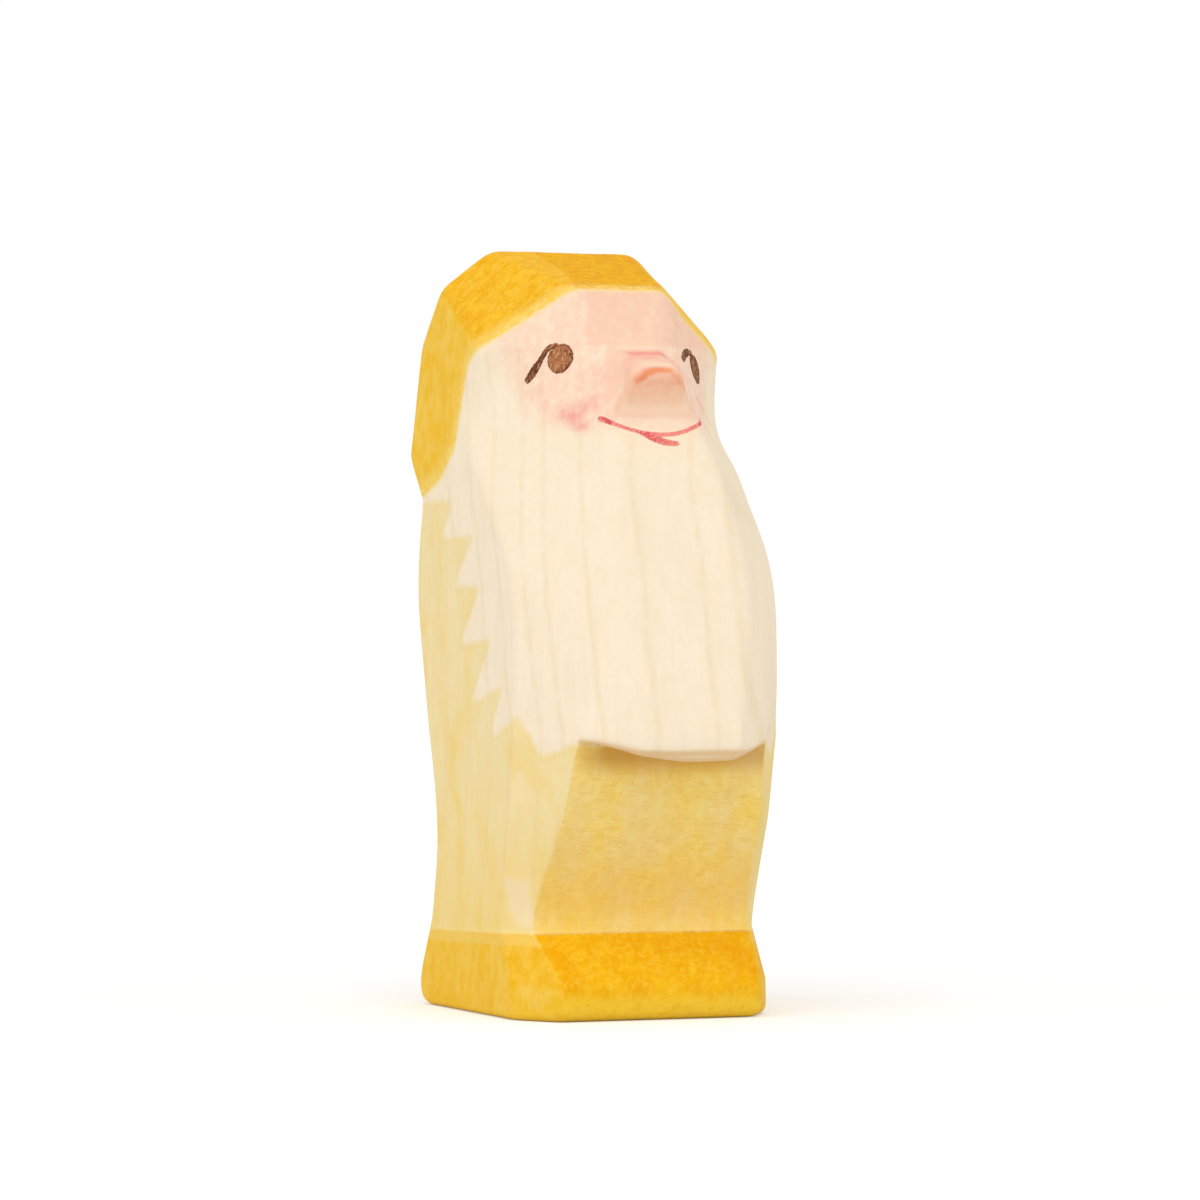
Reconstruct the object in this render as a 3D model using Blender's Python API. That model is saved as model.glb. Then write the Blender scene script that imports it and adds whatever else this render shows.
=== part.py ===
"""A carved wooden dwarf, 80 mm tall, as a set of solids: one for each zone of the carving.

Units are metres and +Z is up. The dwarf faces -Y, and the origin lies on the floor under the middle
of the box around the figure. It is made the way such figures are made by hand: a board is sawn to
the side outline, its corners are cut away with a knife, and the block is then parted along its
creases and stain edges into hood, face, beard, robe and feet. The nose is a small wedge in front of
the face, and the eyes and the mouth are thin inlays in it.

Every depth is measured forwards from the back of the hood, every height up from the floor, and
every half width sideways from the middle.
"""
import math

import bmesh
import bpy
from mathutils import Matrix, Vector
from mathutils.geometry import normal

# Driving sizes: the height of the crown, the depth from the back of the hood to the belly of the
# beard, and the thickness of the sawn board
FIGURE_HEIGHT = 0.0800
FIGURE_DEPTH = 0.0440
BOARD_THICKNESS = 0.0292

# What the knife takes off each flank
SOLE_FLANK_CUT = 0.0003
ANKLE_FLANK_CUT = 0.0005
HOOD_FLANK_CUT = 0.0016

# How far the undercut reaches in behind the beard's lip, and how far it rises
UNDERCUT_REACH = 0.0043
UNDERCUT_RISE = 0.0016

# The narrow cuts down the back corners, and the rounding of the sole's edges
BACK_FACET = 0.0011
SOLE_ROUNDING = 0.0009

# The drawn marks. A lash is a stroke from the middle of its eye, with points along the facet and
# up it; the lower lip's stroke has its points across and up from the middle of the smile.
EYE_WIDTH = 0.0029
EYE_LENGTH = 0.0034
LASH_WIDTH = 0.0006
RIGHT_LASH = ((-0.0007, 0.0011), (-0.0016, 0.0009), (-0.0038, -0.0027))
LEFT_LASH = ((0.0, 0.0012), (-0.0018, 0.0019), (-0.0033, 0.0011))
SMILE_HALF_WIDTH = 0.0057
SMILE_RISE = 0.0016
SMILE_LINE_WIDTH = 0.0005
LOWER_LIP_LINE = ((-0.0012, 0.0), (0.0025, -0.0011))
LOWER_LIP_LINE_WIDTH = 0.0008

# Fits
INLAY_THICKNESS = 0.0005
INLAY_CLEARANCE = 0.0001
SEAM = 0.0003

# Fineness, how far a cutter stands clear of the figure, and the distance at which points merge
CURVE_STEPS = 5
FACET_STEPS = 6
ROUND_STEPS = 24
SMILE_STEPS = 12
CLEAR = 0.0300
OVERSHOOT = 0.00001
WELD = 0.00001
SHARP_ANGLE = math.radians(15)

HALF_BOARD = BOARD_THICKNESS / 2


def at(depth, height):
    """A point of the side view, from its parts of the figure's depth and height."""
    return depth * FIGURE_DEPTH, height * FIGURE_HEIGHT


def corner(station, crease, front):
    """A level line of a corner cut: the height of a station, the depth of the crease on the flank
    as a part of the figure's depth, and the half width left at the front as a part of the board's.
    """
    return station[1], crease * FIGURE_DEPTH, front * HALF_BOARD


def smooth(points, steps):
    """Points along a smooth curve through every given point."""
    padded = [points[0], *points, points[-1]]
    out = []
    for before, start, end, after in zip(padded, padded[1:], padded[2:], padded[3:]):
        for step in range(steps):
            t = step / steps
            out.append(tuple(
                0.5 * (2 * b + (c - a) * t + (2 * a - 5 * b + 4 * c - d) * t ** 2
                       + (3 * b - a - 3 * c + d) * t ** 3)
                for a, b, c, d in zip(before, start, end, after)))
    out.append(points[-1])
    return out


# The front of the side outline, from the crown down to the sole
CROWN = at(0.182, 1.0)
FOREHEAD = at(0.561, 0.940)
BROW = at(0.639, 0.865)
MOUTH = at(0.775, 0.765)
CHEST = at(0.870, 0.683)
BREAST = at(0.931, 0.550)
BELLY = at(1.0, 0.373)
LIP = at(0.991, 0.340)
UNDERCUT = (LIP[0] - UNDERCUT_REACH, LIP[1] + UNDERCUT_RISE)
LAP = at(0.823, 0.256)
HEM = at(0.711, 0.151)
ANKLE = at(0.700, 0.114)
TOE = at(0.823, 0.046)
SOLE_FRONT = at(0.805, 0.0)

# The back of the side outline, from the sole up to the hood
SOLE_BACK = at(0.095, 0.0)
HEEL = at(0.059, 0.036)
CALF = at(0.141, 0.141)
WAIST = at(0.173, 0.269)
SHOULDER = at(0.066, 0.528)
NAPE = at(0.095, 0.668)
HOOD_BULGE = at(0.0, 0.729)
HOOD_BACK = at(0.018, 0.890)

# The flat cuts on the head, where they meet the flanks, the crown and each other
TEMPLE = at(0.443, 0.865)
CHEEK = at(0.395, 0.713)
HOOD_REAR = at(0.043, 0.881)
RIDGE = at(0.157, 0.973)
RIDGE_HALF_WIDTH = 0.745 * HALF_BOARD
CROWN_HALF_WIDTH = 0.605 * HALF_BOARD

# The long cuts at the front corners, below the beard's lip and above it
LOWER_CORNER = [
    corner(SOLE_FRONT, 0.689, 0.753),
    corner(TOE, 0.689, 0.753),
    corner(ANKLE, 0.611, 0.829),
    corner(HEM, 0.627, 0.801),
    corner(LAP, 0.695, 0.747),
    corner(UNDERCUT, 0.730, 0.712),
]
UPPER_CORNER = smooth([
    corner(LIP, 0.730, 0.356),
    corner(BREAST, 0.723, 0.507),
    corner(CHEST, 0.539, 0.425),
    corner(MOUTH, 0.395, 0.342),
    corner(BROW, 0.443, 0.301),
], CURVE_STEPS) + [corner(FOREHEAD, 0.386, 0.360)]

# The hood's edge down the flank, from the temple to the nape
HOOD_EDGE = (at(0.375, 0.843), at(0.355, 0.798), at(0.336, 0.733), at(0.243, 0.694))

# The back corners of the face, in front of the hair and above the beard
FACE_TEMPLE = at(0.511, 0.838)
CHIN = at(0.511, 0.723)

# The tufts of bare beard on the flank: the notch above each tuft, and its tip
TUFTS = (
    (at(0.345, 0.668), at(0.257, 0.619)),
    (at(0.480, 0.621), at(0.339, 0.555)),
    (at(0.525, 0.556), at(0.373, 0.476)),
    (at(0.591, 0.488), at(0.459, 0.404)),
    (at(0.664, 0.428), at(0.584, 0.360)),
    (at(0.745, 0.389), at(0.800, 0.338)),
)

# The nose, and the middles of the eyes and the smile. The eyes are drawn by hand, not quite alike.
NOSE_TIP = at(0.816, 0.829)
NOSE_BASE = at(0.777, 0.778)
NOSE_ROOT_HALF_WIDTH = 0.185 * HALF_BOARD
NOSE_TIP_HALF_WIDTH = 0.171 * HALF_BOARD
NOSE_BASE_HALF_WIDTH = 0.301 * HALF_BOARD
RIGHT_EYE_ACROSS = 0.493 * HALF_BOARD
RIGHT_EYE_HEIGHT = 0.848 * FIGURE_HEIGHT
LEFT_EYE_ACROSS = 0.575 * HALF_BOARD
LEFT_EYE_HEIGHT = 0.836 * FIGURE_HEIGHT
SMILE_HEIGHT = 0.748 * FIGURE_HEIGHT

# The side outline as depth and height, from the forehead down, under the feet and up the back
HEAD_FRONT = [FOREHEAD, BROW]
BEARD_FRONT = smooth([MOUTH, CHEST, BREAST, BELLY, LIP], CURVE_STEPS)
ROBE_FRONT = smooth([UNDERCUT, LAP, HEM, ANKLE], CURVE_STEPS)
FOOT_FRONT = smooth([ANKLE, TOE, SOLE_FRONT], CURVE_STEPS)
ROBE_BACK = smooth([SOLE_BACK, HEEL, CALF, WAIST, SHOULDER, NAPE], CURVE_STEPS)
HOOD_BACK_LINE = [HOOD_BULGE, HOOD_BACK, CROWN]
UPPER_FRONT = HEAD_FRONT + BEARD_FRONT
LOWER_FRONT = ROBE_FRONT + FOOT_FRONT[1:]
BACK_LINE = ROBE_BACK + HOOD_BACK_LINE
MIDDLE_DEPTH = (max(depth for depth, _ in UPPER_FRONT) + HOOD_BULGE[0]) / 2

# The half width of the flanks by height
FLANKS = [
    (0.0, HALF_BOARD - SOLE_FLANK_CUT),
    (ANKLE[1], HALF_BOARD - ANKLE_FLANK_CUT),
    (UNDERCUT[1], HALF_BOARD),
    (CHEEK[1], HALF_BOARD),
    (FOREHEAD[1], HALF_BOARD - HOOD_FLANK_CUT),
    (CROWN[1], HALF_BOARD - HOOD_FLANK_CUT),
]

for old in list(bpy.data.objects):
    bpy.data.objects.remove(old)
parts = bpy.data.collections.new("wooden_dwarf")
cutters = bpy.data.collections.new("cutters")
bpy.context.scene.collection.children.link(parts)
bpy.context.scene.collection.children.link(cutters)


def read_at(height, rows, column=1):
    """A column's value at a height, read between the rows that start with the heights around it."""
    rows = sorted(rows)
    for lower, upper in zip(rows, rows[1:]):
        if lower[0] < upper[0] and height <= upper[0]:
            share = max((height - lower[0]) / (upper[0] - lower[0]), 0.0)
            return lower[column] + (upper[column] - lower[column]) * share
    return rows[-1][column]


def half_width(height):
    return read_at(height, FLANKS)


def world(across, depth, height):
    return Vector((across, MIDDLE_DEPTH - depth, height))


def frame_of(origin, right, up):
    """The matrix of a frame with this origin and X direction, and with Y nearest to up."""
    x_axis = right.normalized()
    z_axis = x_axis.cross(up).normalized()
    matrix = Matrix((x_axis, z_axis.cross(x_axis), z_axis)).transposed().to_4x4()
    matrix.translation = origin
    return matrix


UP = Vector((0.0, 0.0, 1.0))
BACKWARDS = Vector((0.0, 1.0, 0.0))
SIDE_FRAME = frame_of(world(0.0, 0.0, 0.0), -BACKWARDS, UP)
FRONT_FRAME = frame_of(world(0.0, MIDDLE_DEPTH, 0.0), Vector((1.0, 0.0, 0.0)), UP)


def past(start, end):
    """A point well beyond the end of a line, on the same line."""
    line = Vector(end) - Vector(start)
    return tuple(Vector(end) + line.normalized() * CLEAR)


def grown(outline, margin):
    """A closed outline whose every edge is moved outwards by a margin, or inwards if negative."""
    corners = [Vector(point) for point in outline]
    area = sum(a.cross(b) for a, b in zip(corners, corners[1:] + corners[:1]))
    outwards = math.copysign(margin, area * margin)
    out = []
    for index, corner in enumerate(corners):
        before = (corner - corners[index - 1]).normalized()
        after = (corners[(index + 1) % len(corners)] - corner).normalized()
        before_normal = Vector((before.y, -before.x))
        after_normal = Vector((after.y, -after.x))
        mitre = (before_normal + after_normal) / (1.0 + before_normal.dot(after_normal))
        out.append(tuple(corner + mitre * outwards))
    return out


def stroke_outline(points, width):
    """The closed outline of a line of one width through the given points."""
    line = [Vector(point) for point in points]
    left = []
    right = []
    for index, point in enumerate(line):
        along = (line[min(index + 1, len(line) - 1)] - line[max(index - 1, 0)]).normalized()
        aside = Vector((-along.y, along.x)) * width / 2
        left.append(tuple(point + aside))
        right.append(tuple(point - aside))
    return left + right[::-1]


def oval_outline(width, length):
    turns = [math.tau * step / ROUND_STEPS for step in range(ROUND_STEPS)]
    return [(math.cos(turn) * width / 2, math.sin(turn) * length / 2) for turn in turns]


def cutter_object(name, mesh):
    obj = bpy.data.objects.new(name, mesh)
    cutters.objects.link(obj)
    obj.hide_render = True
    obj.display_type = "WIRE"
    return obj


def from_bmesh(name, bm):
    """A new cutter from a bmesh, with its faces turned outwards."""
    bmesh.ops.recalc_face_normals(bm, faces=bm.faces)
    mesh = bpy.data.meshes.new(name)
    bm.to_mesh(mesh)
    bm.free()
    return cutter_object(name, mesh)


def evaluated_mesh(obj):
    depsgraph = bpy.context.evaluated_depsgraph_get()
    depsgraph.update()
    return bpy.data.meshes.new_from_object(obj.evaluated_get(depsgraph))


def prism(name, outline, frame, thickness=4 * CLEAR):
    """A flat outline in a frame's X and Y, made solid by half a thickness to either side."""
    curve = bpy.data.curves.new(name, "CURVE")
    curve.dimensions = "2D"
    curve.fill_mode = "BOTH"
    curve.extrude = thickness / 2
    spline = curve.splines.new("POLY")
    spline.points.add(len(outline) - 1)
    for point, (along, up) in zip(spline.points, outline):
        point.co = (along, up, 0.0, 1.0)
    spline.use_cyclic_u = True
    drawn = bpy.data.objects.new(name, curve)
    cutters.objects.link(drawn)
    bm = bmesh.new()
    bm.from_mesh(evaluated_mesh(drawn))
    bmesh.ops.remove_doubles(bm, verts=bm.verts, dist=1e-7)
    bmesh.ops.transform(bm, matrix=frame, verts=bm.verts)
    bpy.data.objects.remove(drawn)
    return from_bmesh(name, bm)


def apply_boolean(obj, operation, cutter):
    """Cut, keep or join an object by a cutter, which is then removed."""
    modifier = obj.modifiers.new(operation, "BOOLEAN")
    modifier.operation = operation
    modifier.solver = "EXACT"
    modifier.object = cutter
    bm = bmesh.new()
    bm.from_mesh(evaluated_mesh(obj))
    bmesh.ops.remove_doubles(bm, verts=bm.verts, dist=WELD)
    bmesh.ops.dissolve_degenerate(bm, edges=bm.edges, dist=WELD / 10)
    obj.modifiers.clear()
    bm.to_mesh(obj.data)
    bm.free()
    bpy.data.objects.remove(cutter)


def copy_of(obj, name, shift=(0.0, 0.0, 0.0)):
    mesh = obj.data.copy()
    mesh.transform(Matrix.Translation(shift))
    return cutter_object(name, mesh)


def corner_waste(name, side, lines):
    """The wood outside a run of level lines, each of which crosses a corner at its own height."""
    bm = bmesh.new()
    rings = []
    for height, flank, front in lines:
        start = world(side * flank[0], flank[1], height)
        end = world(side * front[0], front[1], height)
        along = (end - start).normalized()
        outwards = Vector((along.y, -along.x, 0.0))
        outwards *= math.copysign(CLEAR / 2, outwards.x * side)
        start -= along * OVERSHOOT
        end += along * OVERSHOOT
        ring = [start.lerp(end, step / FACET_STEPS) for step in range(FACET_STEPS + 1)]
        ring.append(end + along * CLEAR / 2)
        ring.append(end + along * CLEAR / 2 + outwards)
        ring.append(start - along * CLEAR / 2 + outwards)
        ring.append(start - along * CLEAR / 2)
        rings.append([bm.verts.new(point) for point in ring])
    bm.faces.new(rings[0])
    bm.faces.new(rings[-1])
    for lower, upper in zip(rings, rings[1:]):
        for index, corner in enumerate(lower):
            following = (index + 1) % len(lower)
            bm.faces.new((corner, lower[following], upper[following]))
            bm.faces.new((corner, upper[following], upper[index]))
    return from_bmesh(name, bm)


def upper_row(height):
    """The flank and front ends of the corner cut above the lip, as half width and depth."""
    crease_depth = read_at(height, UPPER_CORNER)
    front_half = read_at(height, UPPER_CORNER, 2)
    front = read_at(height, [(up, depth) for depth, up in UPPER_FRONT])
    return Vector((half_width(height), crease_depth)), Vector((front_half, front))


def lower_row(height):
    """The flank and front ends of the corner cut below the lip."""
    crease_depth = read_at(height, LOWER_CORNER)
    front_half = read_at(height, LOWER_CORNER, 2)
    front = read_at(height, [(up, depth) for depth, up in LOWER_FRONT])
    return Vector((half_width(height), crease_depth)), Vector((front_half, front))


def beard_corner(height):
    """Where the beard's corner stands proud of a flat cut, as the robe's top corner does."""
    lip_flank, lip_front = upper_row(LIP[1])
    chord = lip_front - lip_flank
    corner = Vector((LOWER_CORNER[-1][2], UNDERCUT[0])) - lip_flank
    share = corner.dot(chord) / chord.length_squared
    proud = abs(corner.cross(chord.normalized()))
    fade = (MOUTH[1] - height) / (MOUTH[1] - LIP[1])
    flank, front = upper_row(height)
    aside = Vector((front.y - flank.y, flank.x - front.x)).normalized()
    return flank + (front - flank) * share + aside * proud * fade


def flank_cut_lines():
    """The long corner cuts from the sole to the forehead, and on up past the crown."""
    lines = [(height, *lower_row(height)) for _, height in LOWER_FRONT if height < LIP[1]]
    lines += [(height, upper_row(height)[0], beard_corner(height))
              for _, height in BEARD_FRONT if height < MOUTH[1]]
    lines += [(height, *upper_row(height))
              for height, _, _ in UPPER_CORNER if height >= MOUTH[1]]
    lines.sort(key=lambda line: line[0])
    (_, low_flank, low_front), brow, forehead = lines[0], lines[-2], lines[-1]
    lines.insert(0, (-SEAM, low_flank, low_front))
    lines.append(tuple(2 * high - low for low, high in zip(brow, forehead)))
    return lines


def front_cut_lines():
    """The second cuts at the beard's corners, from under the lip up to the mouth."""
    beard_heights = sorted(height for _, height in BEARD_FRONT if height < MOUTH[1])
    lines = [(height, beard_corner(height), upper_row(height)[1]) for height in beard_heights]
    _, low_corner, low_front = lines[0]
    lines.insert(0, (LIP[1] - SEAM, low_corner, low_front))
    aside = Vector((SEAM, SEAM))
    mouth_flank, mouth_front = upper_row(MOUTH[1])
    lines.append((MOUTH[1], mouth_flank + aside, mouth_front + aside))
    return lines


def back_cut_lines():
    """The narrow cuts down the back corners, as level lines from the flank to the back."""
    (low_depth, _), *_, (high_depth, _) = BACK_LINE
    line = [(low_depth, -SEAM), *BACK_LINE, (high_depth, CROWN[1] + SEAM)]
    return [
        (height, (half_width(height), depth + BACK_FACET), (half_width(height) - BACK_FACET, depth))
        for depth, height in line
    ]


def knife(obj, points):
    """Cut away what lies outside the plane through three points of the figure."""
    heart = world(0.0, *CHEEK)
    outwards = normal(points)
    if outwards.dot(points[0] - heart) < 0:
        outwards.negate()
    right = points[1] - points[0]
    frame = frame_of(points[0], right, outwards.cross(right))
    bm = bmesh.new()
    bmesh.ops.create_cube(bm, size=2 * CLEAR, matrix=frame @ Matrix.Translation((0.0, 0.0, CLEAR)))
    apply_boolean(obj, "DIFFERENCE", from_bmesh("knife", bm))


def carve_block():
    """The whole figure in one piece: the sawn board with its corners cut away."""
    block = prism("block", UPPER_FRONT + LOWER_FRONT + BACK_LINE, SIDE_FRAME)
    right_flank = [(half, height) for height, half in FLANKS]
    left_flank = [(-half, height) for half, height in reversed(right_flank)]
    apply_boolean(block, "INTERSECT", prism("board", right_flank + left_flank, FRONT_FRAME))
    for side in (-1, 1):
        for lines in (flank_cut_lines(), front_cut_lines(), back_cut_lines()):
            apply_boolean(block, "DIFFERENCE", corner_waste("waste", side, lines))
        ridge = world(side * RIDGE_HALF_WIDTH, *RIDGE)
        knife(block, (
            ridge,
            world(side * half_width(TEMPLE[1]), *TEMPLE),
            world(side * UPPER_CORNER[-1][2], *FOREHEAD),
        ))
        knife(block, (
            ridge,
            world(side * CROWN_HALF_WIDTH, *CROWN),
            world(side * half_width(HOOD_REAR[1]), *HOOD_REAR),
        ))
    return block


def split(block, name, outline):
    """Part a zone from the block along its outline in the side view, with a seam between them."""
    zone = copy_of(block, name)
    apply_boolean(zone, "INTERSECT", prism("keep", grown(outline, -SEAM / 2), SIDE_FRAME))
    apply_boolean(block, "DIFFERENCE", prism("cut", grown(outline, SEAM / 2), SIDE_FRAME))
    return zone


def feet_outline():
    return [
        (-CLEAR, -CLEAR),
        (BELLY[0] + CLEAR, -CLEAR),
        (BELLY[0] + CLEAR, ANKLE[1]),
        (-CLEAR, ANKLE[1]),
    ]


def hood_outline():
    """The hood: above the line from forehead to temple and behind its edge down the flank."""
    return [past(TEMPLE, FOREHEAD), TEMPLE, *HOOD_EDGE, past(HOOD_EDGE[-1], NAPE),
            (-CLEAR, CROWN[1] + 2 * CLEAR)]


def face_outline():
    return [
        (TEMPLE[0], FOREHEAD[1]),
        FACE_TEMPLE,
        CHIN,
        (BELLY[0] + CLEAR, CHIN[1]),
        (BELLY[0] + CLEAR, CROWN[1] + CLEAR),
    ]


def beard_outline():
    """The beard: in front of the tufts on the flank, and down to the undercut."""
    tufts = [point for tuft in TUFTS for point in tuft]
    return [
        (-CLEAR, CROWN[1] + CLEAR),
        (-CLEAR, TUFTS[0][0][1]),
        *tufts,
        UNDERCUT,
        (UNDERCUT[0], -CLEAR),
        (BELLY[0] + CLEAR, -CLEAR),
        (BELLY[0] + CLEAR, CROWN[1] + CLEAR),
    ]


def round_sole(feet):
    """Round the edges all round the sole."""
    bm = bmesh.new()
    bm.from_mesh(feet.data)
    edges = [edge for edge in bm.edges if all(abs(vert.co.z) < SEAM / 10 for vert in edge.verts)]
    rim = [edge for edge in edges if edge.calc_face_angle(0.0) > math.radians(20)]
    bmesh.ops.bevel(bm, geom=rim, offset=SOLE_ROUNDING, segments=2, profile=0.5,
                    affect="EDGES", clamp_overlap=True)
    bm.to_mesh(feet.data)
    bm.free()


def make_nose(face):
    """A wedge whose top slopes forwards from the brow and whose front falls to the mouth."""
    bm = bmesh.new()
    for half, point in (
        (NOSE_ROOT_HALF_WIDTH, BROW),
        (NOSE_TIP_HALF_WIDTH, NOSE_TIP),
        (NOSE_BASE_HALF_WIDTH, NOSE_BASE),
        (NOSE_BASE_HALF_WIDTH, (BROW[0], NOSE_BASE[1])),
    ):
        for side in (-1, 1):
            bm.verts.new(world(side * half, *point))
    bmesh.ops.convex_hull(bm, input=bm.verts)
    nose = from_bmesh("nose", bm)
    apply_boolean(nose, "DIFFERENCE", copy_of(face, "seat", -BACKWARDS * SEAM))
    return nose


def inlay(name, host, outlines, frame, inwards):
    """A thin mark let into the host's surface, in a pocket that leaves a clearance round it."""
    mark = None
    pocket = None
    for number, outline in enumerate(outlines):
        length = CLEAR - number * SEAM
        tool = prism(name, outline, frame, length)
        cutter = prism("pocket", grown(outline, INLAY_CLEARANCE), frame, length)
        if mark is None:
            mark, pocket = tool, cutter
        else:
            apply_boolean(mark, "UNION", tool)
            apply_boolean(pocket, "UNION", cutter)
    apply_boolean(mark, "INTERSECT", copy_of(host, "surface"))
    apply_boolean(mark, "DIFFERENCE", copy_of(host, "under", inwards * INLAY_THICKNESS))
    floor = copy_of(host, "floor", inwards * (INLAY_THICKNESS + INLAY_CLEARANCE))
    apply_boolean(pocket, "DIFFERENCE", floor)
    apply_boolean(host, "DIFFERENCE", pocket)
    return mark


def make_eye(name, face, side, across, height, lash):
    """An oval and its lash on the facet beside the nose."""
    def facet_point(up):
        flank, front = upper_row(up)
        share = (across - flank.x) / (front.x - flank.x)
        return world(side * across, flank.y + (front.y - flank.y) * share, up)

    flank, front = upper_row(height)
    along = world(flank.x, flank.y, height) - world(front.x, front.y, height)
    along = Vector((along.x, side * along.y, 0.0))
    rise = facet_point(height + EYE_LENGTH) - facet_point(height - EYE_LENGTH)
    frame = frame_of(facet_point(height), along, rise)
    outlines = [oval_outline(EYE_WIDTH, EYE_LENGTH), stroke_outline(lash, LASH_WIDTH)]
    return inlay(name, face, outlines, frame, -frame.col[2].xyz)


def make_mouth(face):
    """A smile under the nose, and a short stroke below it for the lower lip."""
    shares = [2 * step / SMILE_STEPS - 1 for step in range(SMILE_STEPS + 1)]
    smile = [(share * SMILE_HALF_WIDTH, SMILE_HEIGHT + SMILE_RISE * share ** 2) for share in shares]
    lower_lip = [(across, SMILE_HEIGHT + up) for across, up in LOWER_LIP_LINE]
    outlines = [
        stroke_outline(smile, SMILE_LINE_WIDTH),
        stroke_outline(lower_lip, LOWER_LIP_LINE_WIDTH),
    ]
    return inlay("mouth", face, outlines, FRONT_FRAME, BACKWARDS)


def finish(obj, colour, roughness=0.6):
    """Give a finished piece its name, its own stain, and its place among the parts."""
    name = obj.name.split(".")[0]
    material = bpy.data.materials.new(name + "_stain")
    material.use_nodes = True
    shader = material.node_tree.nodes["Principled BSDF"]
    shader.inputs["Base Color"].default_value = (*colour, 1.0)
    shader.inputs["Roughness"].default_value = roughness
    shader.inputs["Metallic"].default_value = 0.0
    material.diffuse_color = (*colour, 1.0)
    obj.data.name = name
    obj.data.materials.clear()
    obj.data.materials.append(material)
    obj.data.shade_smooth()
    obj.data.set_sharp_from_angle(angle=SHARP_ANGLE)
    obj.hide_render = False
    obj.display_type = "TEXTURED"
    cutters.objects.unlink(obj)
    parts.objects.link(obj)


def main():
    block = carve_block()
    feet = split(block, "feet", feet_outline())
    hood = split(block, "hood", hood_outline())
    face = split(block, "face", face_outline())
    beard = split(block, "beard", beard_outline())
    robe = block
    robe.name = "robe"
    round_sole(feet)
    nose = make_nose(face)
    right_eye = make_eye("right_eye", face, -1, RIGHT_EYE_ACROSS, RIGHT_EYE_HEIGHT, RIGHT_LASH)
    left_eye = make_eye("left_eye", face, 1, LEFT_EYE_ACROSS, LEFT_EYE_HEIGHT, LEFT_LASH)
    mouth = make_mouth(face)

    finish(hood, (0.86, 0.50, 0.05))
    finish(face, (0.95, 0.67, 0.50))
    finish(nose, (0.93, 0.58, 0.44))
    finish(beard, (0.94, 0.83, 0.65), 0.65)
    finish(robe, (0.86, 0.68, 0.27))
    finish(feet, (0.87, 0.45, 0.03))
    finish(right_eye, (0.15, 0.06, 0.03), 0.7)
    finish(left_eye, (0.15, 0.06, 0.03), 0.7)
    finish(mouth, (0.72, 0.13, 0.12), 0.7)


main()
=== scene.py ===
"""The carved wooden dwarf as one fine surface, stained in zones, on a white studio floor."""
import math

import bmesh
import bpy
import numpy as np
import openvdb
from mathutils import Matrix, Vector
from mathutils.bvhtree import BVHTree


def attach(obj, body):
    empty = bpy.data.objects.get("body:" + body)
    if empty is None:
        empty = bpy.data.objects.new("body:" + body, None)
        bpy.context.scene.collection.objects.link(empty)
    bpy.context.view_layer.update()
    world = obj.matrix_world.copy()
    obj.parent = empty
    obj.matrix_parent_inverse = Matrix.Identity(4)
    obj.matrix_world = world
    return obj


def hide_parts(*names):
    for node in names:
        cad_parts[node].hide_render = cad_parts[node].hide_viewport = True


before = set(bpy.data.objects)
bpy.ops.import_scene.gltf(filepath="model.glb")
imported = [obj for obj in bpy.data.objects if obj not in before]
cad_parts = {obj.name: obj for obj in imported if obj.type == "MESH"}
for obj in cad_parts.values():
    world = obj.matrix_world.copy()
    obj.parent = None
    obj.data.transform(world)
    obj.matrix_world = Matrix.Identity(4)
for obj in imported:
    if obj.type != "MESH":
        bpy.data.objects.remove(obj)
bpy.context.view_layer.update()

# Sizes are in millimetres until the meshes are made. Depth runs forwards from the back of the
# hood, height up from the floor, and across sideways from the middle.
MM = 0.001
HEIGHT = 80.0
DEPTH = 44.0
HALF_BOARD = 14.6

# The step of the surface's grid, its margin round the figure, and the cells along a noise table
VOXEL = 0.25
MARGIN = 1.5
CELLS = 64

# The marks of the knife, wide ones and narrow ones: their size, a seed and their depth
KNIFE_MARKS = [((4.0, 4.0, 11.0), 3, 0.05), ((1.7, 1.7, 5.0), 5, 0.018)]


def at(depth, height):
    """A point of the side view from its shares of the depth and of the height."""
    return depth * DEPTH, height * HEIGHT


# Corners and turns of the side outline
CROWN = at(0.182, 1.0)
FOREHEAD = at(0.561, 0.940)
BROW = at(0.639, 0.865)
MOUTH = at(0.775, 0.765)
CHEST = at(0.870, 0.683)
BREAST = at(0.931, 0.550)
BELLY = at(1.0, 0.373)
LIP = at(0.991, 0.340)
UNDERCUT = (LIP[0] - 4.3, LIP[1] + 1.6)
LAP = at(0.823, 0.256)
HEM = at(0.711, 0.151)
ANKLE = at(0.700, 0.114)
TOE = at(0.823, 0.046)
SOLE_FRONT = at(0.805, 0.0)
SOLE_BACK = at(0.095, 0.0)
HEEL = at(0.059, 0.036)
CALF = at(0.141, 0.141)
WAIST = at(0.173, 0.269)
SHOULDER = at(0.066, 0.528)
NAPE = at(0.095, 0.668)
HOOD_BULGE = at(0.0, 0.729)
HOOD_BACK = at(0.018, 0.890)

# Corners of the facets on the head and of the nose's wedge
TEMPLE = at(0.443, 0.865)
CHEEK = at(0.395, 0.713)
HOOD_REAR = at(0.043, 0.881)
RIDGE = at(0.157, 0.973)
NOSE_TIP = at(0.816, 0.829)
NOSE_BASE = at(0.777, 0.778)

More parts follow.
